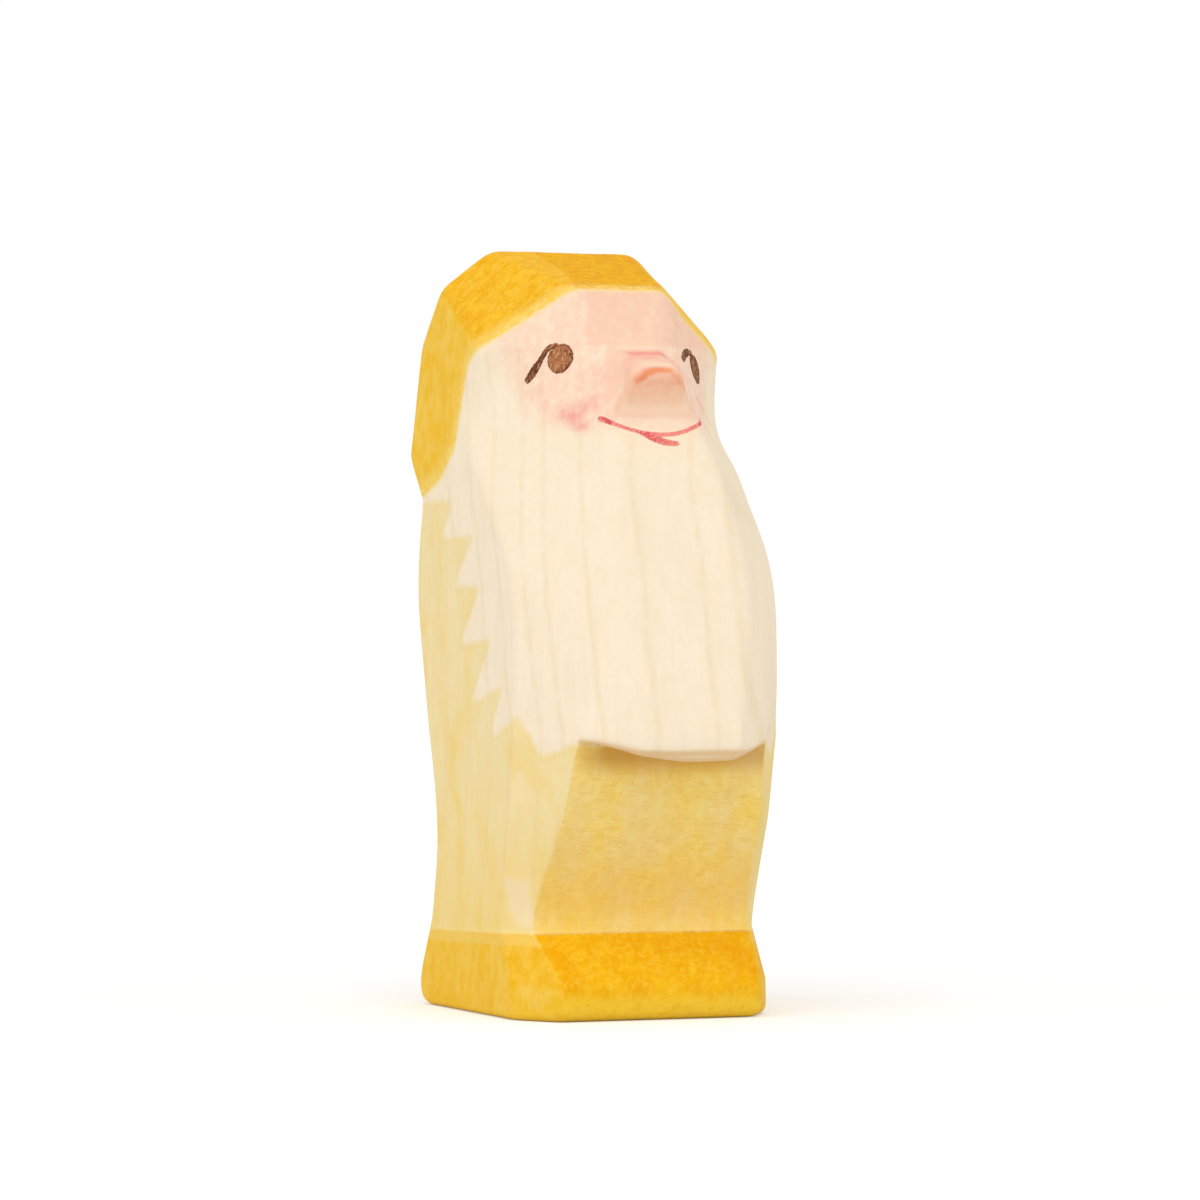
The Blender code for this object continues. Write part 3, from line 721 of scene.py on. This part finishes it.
class Maple(Graph):
    """Maple with a stain in each zone, and pigment on the face."""

    def __init__(self):
        super().__init__("stained_maple")
        self.fibre = self.noise((4.5, 4.5, 0.3), 3.0, 0.6)
        self.streak = self.noise((1.3, 1.3, 0.13), 4.0, 0.6, 0.3)
        self.cloud = self.noise((0.2, 0.2, 0.12), 3.0, 0.55)
        self.blotch = self.noise((0.6, 0.6, 0.45), 4.0, 0.65)
        self.mottle = self.noise((1.1, 1.1, 1.0), 4.0, 0.7)
        self.dash = self.noise((0.9, 0.9, 6.0), 3.0, 0.6)
        self.grit = self.noise((5.0, 5.0, 5.0), 2.0, 0.6)
        self.rough = self.sway(0.8, (2.2, 2.2, 1.6), 3.0, 0.7)
        self.loose = self.sway(1.0, (0.7, 0.7, 0.35), 3.0)

        normal = self.add("ShaderNodeNewGeometry", {}).outputs["Normal"]
        self.facing = self.add("ShaderNodeSeparateXYZ", {0: normal}).outputs[2]
        self.rise = self.math("ABSOLUTE", self.facing)
        self.level = self.step(self.rise, 0.8, 0.93)
        self.front = self.step(self.mark("front"), 0.25, 0.75)
        place = self.stretched((1.0, 1.0, 1.0))
        self.place = self.add("ShaderNodeSeparateXYZ", {0: place}).outputs
        self.rings = self.growth_rings()

        self.hood_edge = self.plus(self.mark("hood"), self.rough)
        self.robe_edge = self.plus(self.mark("robe"), self.plus(self.rough, self.loose))
        self.foot_edge = self.plus(self.mark("foot"), self.times(self.rough, 0.5))

    def growth_rings(self):
        """Beaded lines that run up the wood where the rings of the board come out."""
        deep = self.math("MULTIPLY_ADD", self.place[1], -0.75, -14.2)
        high = self.math("MAXIMUM", self.math("MULTIPLY_ADD", self.place[2], 0.19, -8.2),
                         self.math("MULTIPLY_ADD", self.place[2], -0.17, 2.3))
        wave = self.sway(0.3, (0.5, 0.5, 0.5), 2.0)
        drift = self.sway(1.6, (0.04, 0.04, 0.06), 1.0)
        place = self.plus(self.plus(self.place[0], deep), self.plus(high, wave))
        place = self.plus(place, drift)
        rings = 0.0
        for ring in RINGS:
            gap = self.math("ABSOLUTE", self.math("SUBTRACT", place, ring))
            rings = self.math("MAXIMUM", rings, self.step(gap, 0.0, RING_WIDTH, 1.0, 0.0))
        return self.times(rings, self.step(self.noise((1.2, 1.2, 0.5), 2.0), 0.3, 0.6, 0.3, 1.0))

    def bare_wood(self):
        wood = self.fade(self.cloud, 0.3, 0.7, (252, 237, 211), (250, 233, 205))
        wood = self.tints(
            wood,
            (self.streak, 0.4, 0.7, 0.0, 0.55, (247, 228, 197)),
            (self.fibre, 0.45, 0.8, 0.0, 0.2, (243, 223, 192)))
        wood = self.tint(wood, self.times(self.rings, 0.3), (239, 219, 180))
        # Uneven mottle, then painted shade: faces turned upwards are darker, evening out the light
        # from above
        wood = self.tints(
            wood,
            (self.mottle, 0.4, 0.7, 0.0, 0.3, (244, 226, 196)),
            (self.facing, 0.1, 0.6, 0.0, 0.4, (241, 223, 194)))
        # End grain on faces turned down low on the figure, darker and browner; under the lip it is
        # also painted shade
        end_grain_and_shade = self.times(self.step(self.facing, -0.75, -0.1, 0.95, 0.0),
                             self.step(self.place[2], 36.0, 40.0, 1.0, 0.0))
        return self.tint(wood, end_grain_and_shade, (237, 204, 156))

    def with_face(self, wood):
        """The wood with the pink of the face over it, then the nose, paler below as painted light,
        and the soft marks, which include painted highlights.
        """
        face = self.fade(self.mottle, 0.35, 0.65, (251, 222, 196), (248, 207, 182))
        strip = self.times(self.mark("strip"), self.step(self.mottle, 0.3, 0.7, 0.65, 1.0))
        face = self.tint(face, strip, (246, 199, 173))
        # Painted light: the nose is paler where it turns down, lifting the shade on its underside
        nose = self.fade(self.facing, -0.25, 0.1, (255, 220, 190), (248, 202, 174))
        face = self.mix(self.times(self.mark("nose"), 0.8), face, nose)
        pink = self.step(self.math("MULTIPLY_ADD", self.loose, 1.5, self.mark("pink")), -1.5, 1.5)
        colour = self.mix(self.times(pink, self.step(self.blotch, 0.3, 0.7, 0.75, 1.0)), wood, face)
        patchy = self.step(self.mottle, 0.25, 0.65, 0.7, 1.15)
        # Pink and orange pigment, then the painted highlights on the brow and the nose
        for mark, tone in (("flush", (240, 150, 108)), ("blush", (242, 158, 144)),
                           ("painted_highlight", (253, 224, 196))):
            colour = self.tint(colour, self.times(self.mark(mark), patchy), tone)
        return colour

    def robe_stain(self):
        """A thin stain on the back and flanks, and a deeper one on the front."""
        thin = self.fade(self.blotch, 0.3, 0.7, (246, 226, 170), (245, 219, 150))
        patch = self.math("MULTIPLY_ADD", self.loose, 0.9, self.mark("patch"))
        thin = self.tints(
            thin,
            (self.streak, 0.4, 0.75, 0.0, 0.45, (242, 217, 152)),
            (self.fibre, 0.4, 0.8, 0.0, 0.25, (249, 231, 182)),
            (self.cloud, 0.48, 0.66, 0.0, 0.6, (246, 213, 126)),
            (self.mark("robe"), 0.2, 5.0, 0.35, 0.0, (247, 229, 182)),
            (self.place[2], 9.0, 26.0, 0.55, 0.0, (247, 213, 108)),
            (self.place[0], 5.0, 9.0, 0.0, 0.4, (245, 213, 112)),
            (patch, 0.2, 0.7, 0.0, 0.7, (247, 226, 186)))
        deep = self.fade(self.blotch, 0.3, 0.7, (254, 228, 140), (252, 217, 108))
        deep = self.tints(
            deep,
            (self.mottle, 0.42, 0.66, 0.0, 0.45, (247, 203, 82)),
            (self.cloud, 0.35, 0.6, 0.25, 0.0, (240, 212, 142)),
            (self.dash, 0.5, 0.7, 0.0, 0.55, (240, 194, 86)),
            (self.dash, 0.3, 0.45, 0.35, 0.0, (249, 222, 152)))
        # Painted shade under the lip's overhang on the robe front, fading towards the left end
        deep = self.tint(deep, self.times(self.mark("lip_shade"), 0.95), (213, 164, 76))
        deep = self.tints(deep, (self.place[2], 9.0, 20.0, 0.4, 0.0, (243, 200, 86)))
        stain = self.mix(self.front, thin, deep)
        return self.tints(stain, (self.robe_edge, 0.1, 1.1, 0.4, 0.0, (242, 212, 122)))

    def flank_gold(self):
        """The gold on upright sides, which the hood and the foot share."""
        side = self.fade(self.blotch, 0.35, 0.65, (246, 203, 84), (243, 189, 34))
        return self.tints(
            side,
            (self.streak, 0.42, 0.7, 0.0, 0.4, (243, 188, 44)),
            (self.fibre, 0.4, 0.75, 0.0, 0.35, (247, 207, 92)))

    def hood_stain(self, side):
        """Gold on the slopes, amber on the crown, paler along the stain's edge, and a painted
        highlight along the ridges.
        """
        uneven = self.mix(0.5, self.blotch, self.mottle)
        gold = self.fade(uneven, 0.36, 0.62, (248, 193, 38), (238, 170, 0))
        gold = self.tints(
            gold,
            (self.strokes(40.0, 0.6, 1.4), 0.45, 0.7, 0.0, 0.42, (250, 204, 80)),
            (self.grit, 0.52, 0.75, 0.0, 0.5, (253, 216, 112)))
        amber = self.fade(self.blotch, 0.36, 0.62, (239, 175, 0), (231, 160, 0))
        amber = self.tints(
            amber,
            (self.dash, 0.45, 0.68, 0.0, 0.5, (228, 154, 0)),
            (self.mottle, 0.42, 0.66, 0.0, 0.7, (247, 192, 10)))
        stain = self.mix(self.step(self.rise, 0.2, 0.4), side, gold)
        crown = self.step(self.plus(self.mark("crown"), self.rough), -0.15, 0.2)
        stain = self.mix(self.times(self.level, crown), stain, amber)
        halo = self.times(self.step(self.hood_edge, 0.1, 2.6, 0.8, 0.0),
                          self.step(self.mottle, 0.4, 0.6, 0.4, 1.0))
        stain = self.tint(stain, halo, (251, 221, 130))
        # Painted highlight: paler gold along the ridges, where the surface bends most
        return self.tints(stain, (self.mark("edge"), 0.12, 0.5, 0.0, 0.5, (251, 210, 96)))

    def foot_stain(self, side):
        """Slanting strokes of deep gold on the front, and a paler rim above the sides."""
        slant = self.mix(self.step(self.blotch, 0.4, 0.6), self.strokes(35.0, 0.7, 1.7),
                         self.strokes(75.0, 0.7, 1.7))
        shoe = self.fade(self.blotch, 0.32, 0.68, (243, 187, 18), (237, 169, 0))
        # Paler near the sole as painted light, lifting the shade along the rounded bottom, then
        # strokes, mottle and grit in the stain
        shoe = self.tints(
            shoe,
            (self.mark("foot"), 5.4, 7.4, 0.0, 0.9, (255, 217, 66)),
            (slant, 0.44, 0.68, 0.0, 0.6, (249, 203, 62)),
            (slant, 0.32, 0.5, 0.4, 0.0, (239, 165, 0)),
            (self.mottle, 0.45, 0.7, 0.0, 0.35, (242, 172, 0)),
            (self.grit, 0.52, 0.75, 0.0, 0.45, (251, 206, 70)))
        deep = self.times(self.mark("deep"), self.step(self.mottle, 0.3, 0.6, 1.0, 0.5))
        shoe = self.tint(shoe, deep, (238, 160, 0))
        facet = self.times(self.step(self.rise, 0.05, 0.25), 0.5)
        stain = self.mix(self.math("MAXIMUM", self.front, facet), side, shoe)
        above = self.times(self.step(self.foot_edge, 1.0, 1.4, 0.45, 0.0),
                           self.math("SUBTRACT", 1.0, self.front))
        return self.tint(stain, above, (246, 212, 120))

    def build(self):
        colour = self.with_face(self.bare_wood())
        robe = self.times(self.step(self.robe_edge, -0.35, 0.65),
                          self.step(self.cloud, 0.3, 0.7, 0.84, 1.0))
        colour = self.mix(robe, colour, self.robe_stain())
        fringe = self.math("MAXIMUM", self.step(self.hood_edge, -0.6, -0.1),
                           self.step(self.foot_edge, -0.35, -0.05))
        colour = self.tint(colour, self.times(fringe, 0.5), (250, 222, 140))
        side = self.flank_gold()
        colour = self.mix(self.step(self.hood_edge, -0.2, 0.26), colour, self.hood_stain(side))
        colour = self.mix(self.step(self.foot_edge, -0.12, 0.15), colour, self.foot_stain(side))

        # A dark line at the ankle, the rings through the stain, and small flecks
        ankle = self.step(self.math("ABSOLUTE", self.foot_edge), 0.05, 0.2, 0.42, 0.0)
        ankle = self.times(self.times(ankle, self.front), self.step(self.blotch, 0.35, 0.6, 0.4, 1.0))
        colour = self.tint(colour, ankle, (214, 164, 72))
        colour = self.tint(colour, self.times(self.rings, 0.05), (205, 165, 100))
        flecks = self.noise((3.2, 3.2, 2.4), 1.0, 0.5)
        colour = self.tints(colour, (flecks, 0.79, 0.84, 0.0, 0.3, (200, 155, 105)))

        lines = self.times(self.dash, self.math("MAXIMUM", self.front, self.level))
        relief = self.plus(self.times(self.fibre, 0.5), self.times(self.grit, 0.3))
        relief = self.plus(relief, self.times(lines, 0.8))
        relief = self.math("SUBTRACT", relief, self.times(self.rings, 0.3))
        roughness = self.step(self.fibre, 0.2, 0.8, 0.55, 0.7)
        return self.finish(colour, roughness, 0.05, relief, 0.06)


def pencil(name, light, middle, dark, rim):
    """Coloured pencil on wood: hatched, with skipped grains, and darker where it was pressed."""
    g = Graph(name)
    hatch = g.noise((2.6, 2.6, 1.1), 4.0, 0.7, 1.2)
    skips = g.noise((3.8, 3.8, 3.0), 2.0, 0.6)
    pressed = g.math("MULTIPLY_ADD", g.math("POWER", g.mark("rim"), 3.0), rim, hatch)
    pressed = g.plus(pressed, g.mark("press"))
    colour = g.fade(pressed, 0.44, 0.66, middle, dark)
    colour = g.tints(colour, (skips, 0.52, 0.7, 0.0, 0.85, light))
    return g.finish(colour, g.step(hatch, 0.2, 0.8, 0.6, 0.8), 0.15, skips, 0.05)


maple = Maple().build()
for name, chosen in zones.items():
    piece = make_piece("carved_" + name, chosen)
    piece.data.materials.append(maple)
    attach(piece, "root")
    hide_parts(name)

# The drawn marks: strokes of (across, height, width, how hard the pencil was pressed), and ovals
# of (across, height, width, length, how hard)
RIGHT_LASH = [
    (-7.1, 69.2, 0.45, 0.1), (-7.7, 69.05, 0.6, 0.05), (-8.15, 68.6, 0.55, 0.1),
    (-8.65, 67.7, 0.6, 0.1), (-9.0, 67.0, 0.85, 0.14), (-9.45, 66.15, 0.85, 0.14),
    (-9.9, 65.35, 0.55, 0.08),
]
LEFT_LASH = [
    (8.2, 68.5, 0.6, 0.1), (7.6, 68.75, 0.75, 0.1), (6.8, 68.45, 0.8, 0.1),
    (6.05, 67.75, 0.65, 0.05),
]
RIGHT_IRIS = (-7.12, 67.78, 2.9, 3.25, -0.05)
LEFT_IRIS = (8.5, 66.95, 2.6, 3.1, 0.08)
SMILE = [
    (-5.6, 61.5, 0.5, 0.1), (-5.1, 61.15, 0.55, 0.16), (-4.3, 60.8, 0.42, 0.0),
    (-2.7, 60.25, 0.46, 0.02), (-1.5, 60.0, 0.5, 0.05), (0.0, 59.8, 0.5, -0.05),
    (2.1, 59.92, 0.46, -0.1), (3.8, 60.4, 0.45, -0.02), (5.0, 60.9, 0.42, 0.05),
    (5.7, 61.3, 0.5, 0.14), (5.85, 61.5, 0.42, 0.14),
]
LOWER_LIP = [
    (-2.0, 60.05, 0.45, 0.05), (-1.2, 59.75, 0.8, 0.12), (-0.4, 59.38, 0.95, 0.12),
    (0.5, 59.05, 0.85, 0.08), (1.4, 58.9, 0.7, 0.0), (2.1, 58.88, 0.45, -0.05),
]

# How far a mark stands out of the surface and reaches into it, and how much higher the next lies
PROUD = 0.03
SUNK = 0.2
LAYER = 0.015

# Points across a stroke, its width at the ends, and how ragged its sides are; the same for ovals
STROKE_SHARES = (0.0, 0.25, 0.5, 0.75, 1.0)
STROKE_ENDS = (0.55, 0.85, 1.0)
STROKE_RAGGED = 0.13
OVAL_SHARES = (0.15, 0.35, 0.55, 0.75, 0.9, 1.0)
OVAL_SPOKES = 40
OVAL_RAGGED = 0.035
OVAL_SEED = 10

# Where a line of sight onto the front starts, in metres
IN_FRONT = -0.2

skin = BVHTree.FromPolygons([tuple(p) for p in to_world(*points.T)], quads.tolist())


def on_skin(across, height):
    """The point of the surface seen straight from the front, and its outward normal."""
    start = Vector((across * MM, IN_FRONT, height * MM))
    place, facing, _, _ = skin.ray_cast(start, Vector((0.0, 1.0, 0.0)))
    return place, facing if facing.y < 0 else -facing


def add_sheet(bm, grid, pressed, closed, lift):
    """A thin closed slab over rows of points that are laid onto the surface."""
    rim = bm.verts.layers.float["rim"]
    press = bm.verts.layers.float["press"]
    layers = []
    for offset in (PROUD + lift, -SUNK):
        layer = []
        for i, row in enumerate(grid):
            laid = []
            for j, point in enumerate(row):
                place, facing, _, _ = skin.find_nearest(point)
                facing = facing if facing.y < 0 else -facing
                vert = bm.verts.new(place + facing * offset * MM)
                outwards = i / (len(grid) - 1) if closed else abs(2 * j / (len(row) - 1) - 1)
                vert[rim] = outwards
                vert[press] = pressed[i]
                laid.append(vert)
            layer.append(laid)
        layers.append(layer)
    top, bottom = layers
    rows, columns = len(grid), len(grid[0])
    for layer in layers:
        for i in range(rows - 1):
            for j in range(columns if closed else columns - 1):
                k = (j + 1) % columns
                bm.faces.new((layer[i][j], layer[i][k], layer[i + 1][k], layer[i + 1][j]))
    if closed:
        walls = [(top[-1], bottom[-1])]
        for layer in layers:
            bm.faces.new(layer[0])
    else:
        outline = ([(0, j) for j in range(columns)] + [(i, columns - 1) for i in range(1, rows)]
                   + [(rows - 1, j) for j in range(columns - 2, -1, -1)]
                   + [(i, 0) for i in range(rows - 2, 0, -1)])
        walls = [([top[i][j] for i, j in outline], [bottom[i][j] for i, j in outline])]
    for high, low in walls:
        for a, b, c, d in zip(high, high[1:] + high[:1], low[1:] + low[:1], low):
            bm.faces.new((a, b, c, d))


def add_stroke(bm, line, seed):
    """A pencil stroke of changing width along points on the surface."""
    rng = np.random.default_rng(seed)
    line = smooth(line, 8)
    places = [on_skin(*point[:2]) for point in line]
    grid = []
    for index, (place, facing) in enumerate(places):
        before, after = places[max(index - 1, 0)][0], places[min(index + 1, len(places) - 1)][0]
        aside = (after - before).normalized().cross(facing)
        end = min(index, len(line) - 1 - index)
        width = line[index][2] * STROKE_ENDS[min(end, len(STROKE_ENDS) - 1)] * MM / 2
        left, right = width * (1 + rng.uniform(-STROKE_RAGGED, STROKE_RAGGED, 2))
        grid.append([place + aside * (-left + (left + right) * share)
                     for share in STROKE_SHARES])
    add_sheet(bm, grid, [point[3] for point in line], False, LAYER * seed)


def add_oval(bm, across, height, width, length, press, seed):
    """A filled oval with a slightly ragged rim."""
    rng = np.random.default_rng(seed)
    middle, facing = on_skin(across, height)
    along = Vector((0.0, 0.0, 1.0)).cross(facing).normalized()
    rise = facing.cross(along)
    ragged = 1 + rng.uniform(-OVAL_RAGGED, OVAL_RAGGED, OVAL_SPOKES)
    grid = []
    for share in OVAL_SHARES:
        row = []
        for spoke in range(OVAL_SPOKES):
            turn = math.tau * spoke / OVAL_SPOKES
            reach = share * (ragged[spoke] if share == 1.0 else 1.0) * MM / 2
            row.append(middle + along * math.cos(turn) * width * reach
                       + rise * math.sin(turn) * length * reach)
        grid.append(row)
    add_sheet(bm, grid, [press] * len(grid), True, LAYER)


def drawn(name, node, material, strokes=(), ovals=()):
    """A drawn mark as one piece, in the place of its inlay."""
    bm = bmesh.new()
    for layer in ("rim", "press"):
        bm.verts.layers.float.new(layer)
    for seed, line in enumerate(strokes):
        add_stroke(bm, line, seed)
    for seed, oval in enumerate(ovals):
        add_oval(bm, *oval, seed + OVAL_SEED)
    bmesh.ops.recalc_face_normals(bm, faces=bm.faces)
    mesh = bpy.data.meshes.new(name)
    bm.to_mesh(mesh)
    bm.free()
    mesh.materials.append(material)
    piece = bpy.data.objects.new(name, mesh)
    bpy.context.scene.collection.objects.link(piece)
    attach(piece, "root")
    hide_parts(node)


brown = pencil("brown_pencil", (222, 166, 114), (176, 112, 73), (100, 56, 33), 0.2)
red = pencil("red_pencil", (246, 176, 158), (238, 138, 126), (218, 88, 90), -0.1)
drawn("drawn_right_eye", "right_eye", brown, [RIGHT_LASH], [RIGHT_IRIS])
drawn("drawn_left_eye", "left_eye", brown, [LEFT_LASH], [LEFT_IRIS])
drawn("drawn_mouth", "mouth", red, [SMILE, LOWER_LIP])

# The studio, in metres
WHITE = (1.0, 1.0, 1.0, 1.0)
FLOOR_COLOUR = (0.823, 0.82, 0.81, 1.0)
FLOOR_HALF = 8.0
FLOOR_LIFT = 0.26
AMBIENT = 0.68
LIGHTS = [
    ("key", (-0.3, -0.7, 0.95), 0.62, 50.0),
    ("side", (-0.95, -0.2, 0.55), 0.56, 60.0),
    ("fill", (0.6, -0.75, 0.35), 0.42, 60.0),
]
SENSOR_WIDTH = 36.0
FOCAL_LENGTH = 170.28
CAMERA_PLACE = (-0.2226, -0.5484, 0.0429)
CAMERA_TURN = -22.0

floor_mesh = bpy.data.meshes.new("floor")
bm = bmesh.new()
bmesh.ops.create_grid(bm, x_segments=1, y_segments=1, size=FLOOR_HALF)
bm.to_mesh(floor_mesh)
bm.free()
floor = bpy.data.objects.new("floor", floor_mesh)
bpy.context.scene.collection.objects.link(floor)
g = Graph("studio_floor")
g.shader.inputs["Base Color"].default_value = FLOOR_COLOUR
g.shader.inputs["Roughness"].default_value = 0.9
g.shader.inputs["Specular IOR Level"].default_value = 0.0
g.shader.inputs["Emission Color"].default_value = WHITE
g.put(g.shader.inputs["Emission Strength"],
      g.times(g.add("ShaderNodeLightPath", {}).outputs["Is Camera Ray"], FLOOR_LIFT))
floor_mesh.materials.append(g.material)

world = bpy.data.worlds.new("studio")
world.use_nodes = True
bpy.context.scene.world = world
background = world.node_tree.nodes["Background"]
rays = world.node_tree.nodes.new("ShaderNodeLightPath")
strength = world.node_tree.nodes.new("ShaderNodeMapRange")
seen = rays.outputs["Is Camera Ray"]
for kind in ("Is Glossy Ray", "Is Transmission Ray"):
    either = world.node_tree.nodes.new("ShaderNodeMath")
    either.operation = "MAXIMUM"
    world.node_tree.links.new(seen, either.inputs[0])
    world.node_tree.links.new(rays.outputs[kind], either.inputs[1])
    seen = either.outputs[0]
world.node_tree.links.new(seen, strength.inputs["Value"])
strength.inputs["To Min"].default_value = AMBIENT
strength.inputs["To Max"].default_value = 1.0
world.node_tree.links.new(strength.outputs[0], background.inputs["Strength"])
background.inputs["Color"].default_value = WHITE


def sun(name, towards, power, softness):
    """A soft light that falls evenly, from the side that the vector points to."""
    lamp = bpy.data.lights.new(name, "SUN")
    lamp.energy = power
    lamp.angle = math.radians(softness)
    obj = bpy.data.objects.new(name, lamp)
    obj.location = Vector(towards)
    obj.rotation_euler = Vector(towards).to_track_quat("Z", "Y").to_euler()
    bpy.context.scene.collection.objects.link(obj)


for light in LIGHTS:
    sun(*light)

lens = bpy.data.cameras.new("camera")
lens.sensor_width = SENSOR_WIDTH
lens.lens = FOCAL_LENGTH
lens.clip_start = 0.01
camera = bpy.data.objects.new("camera", lens)
camera.location = CAMERA_PLACE
camera.rotation_euler = (math.radians(90.0), 0.0, math.radians(CAMERA_TURN))
bpy.context.scene.collection.objects.link(camera)
bpy.context.scene.camera = camera
bpy.context.scene.view_settings.view_transform = "Standard"
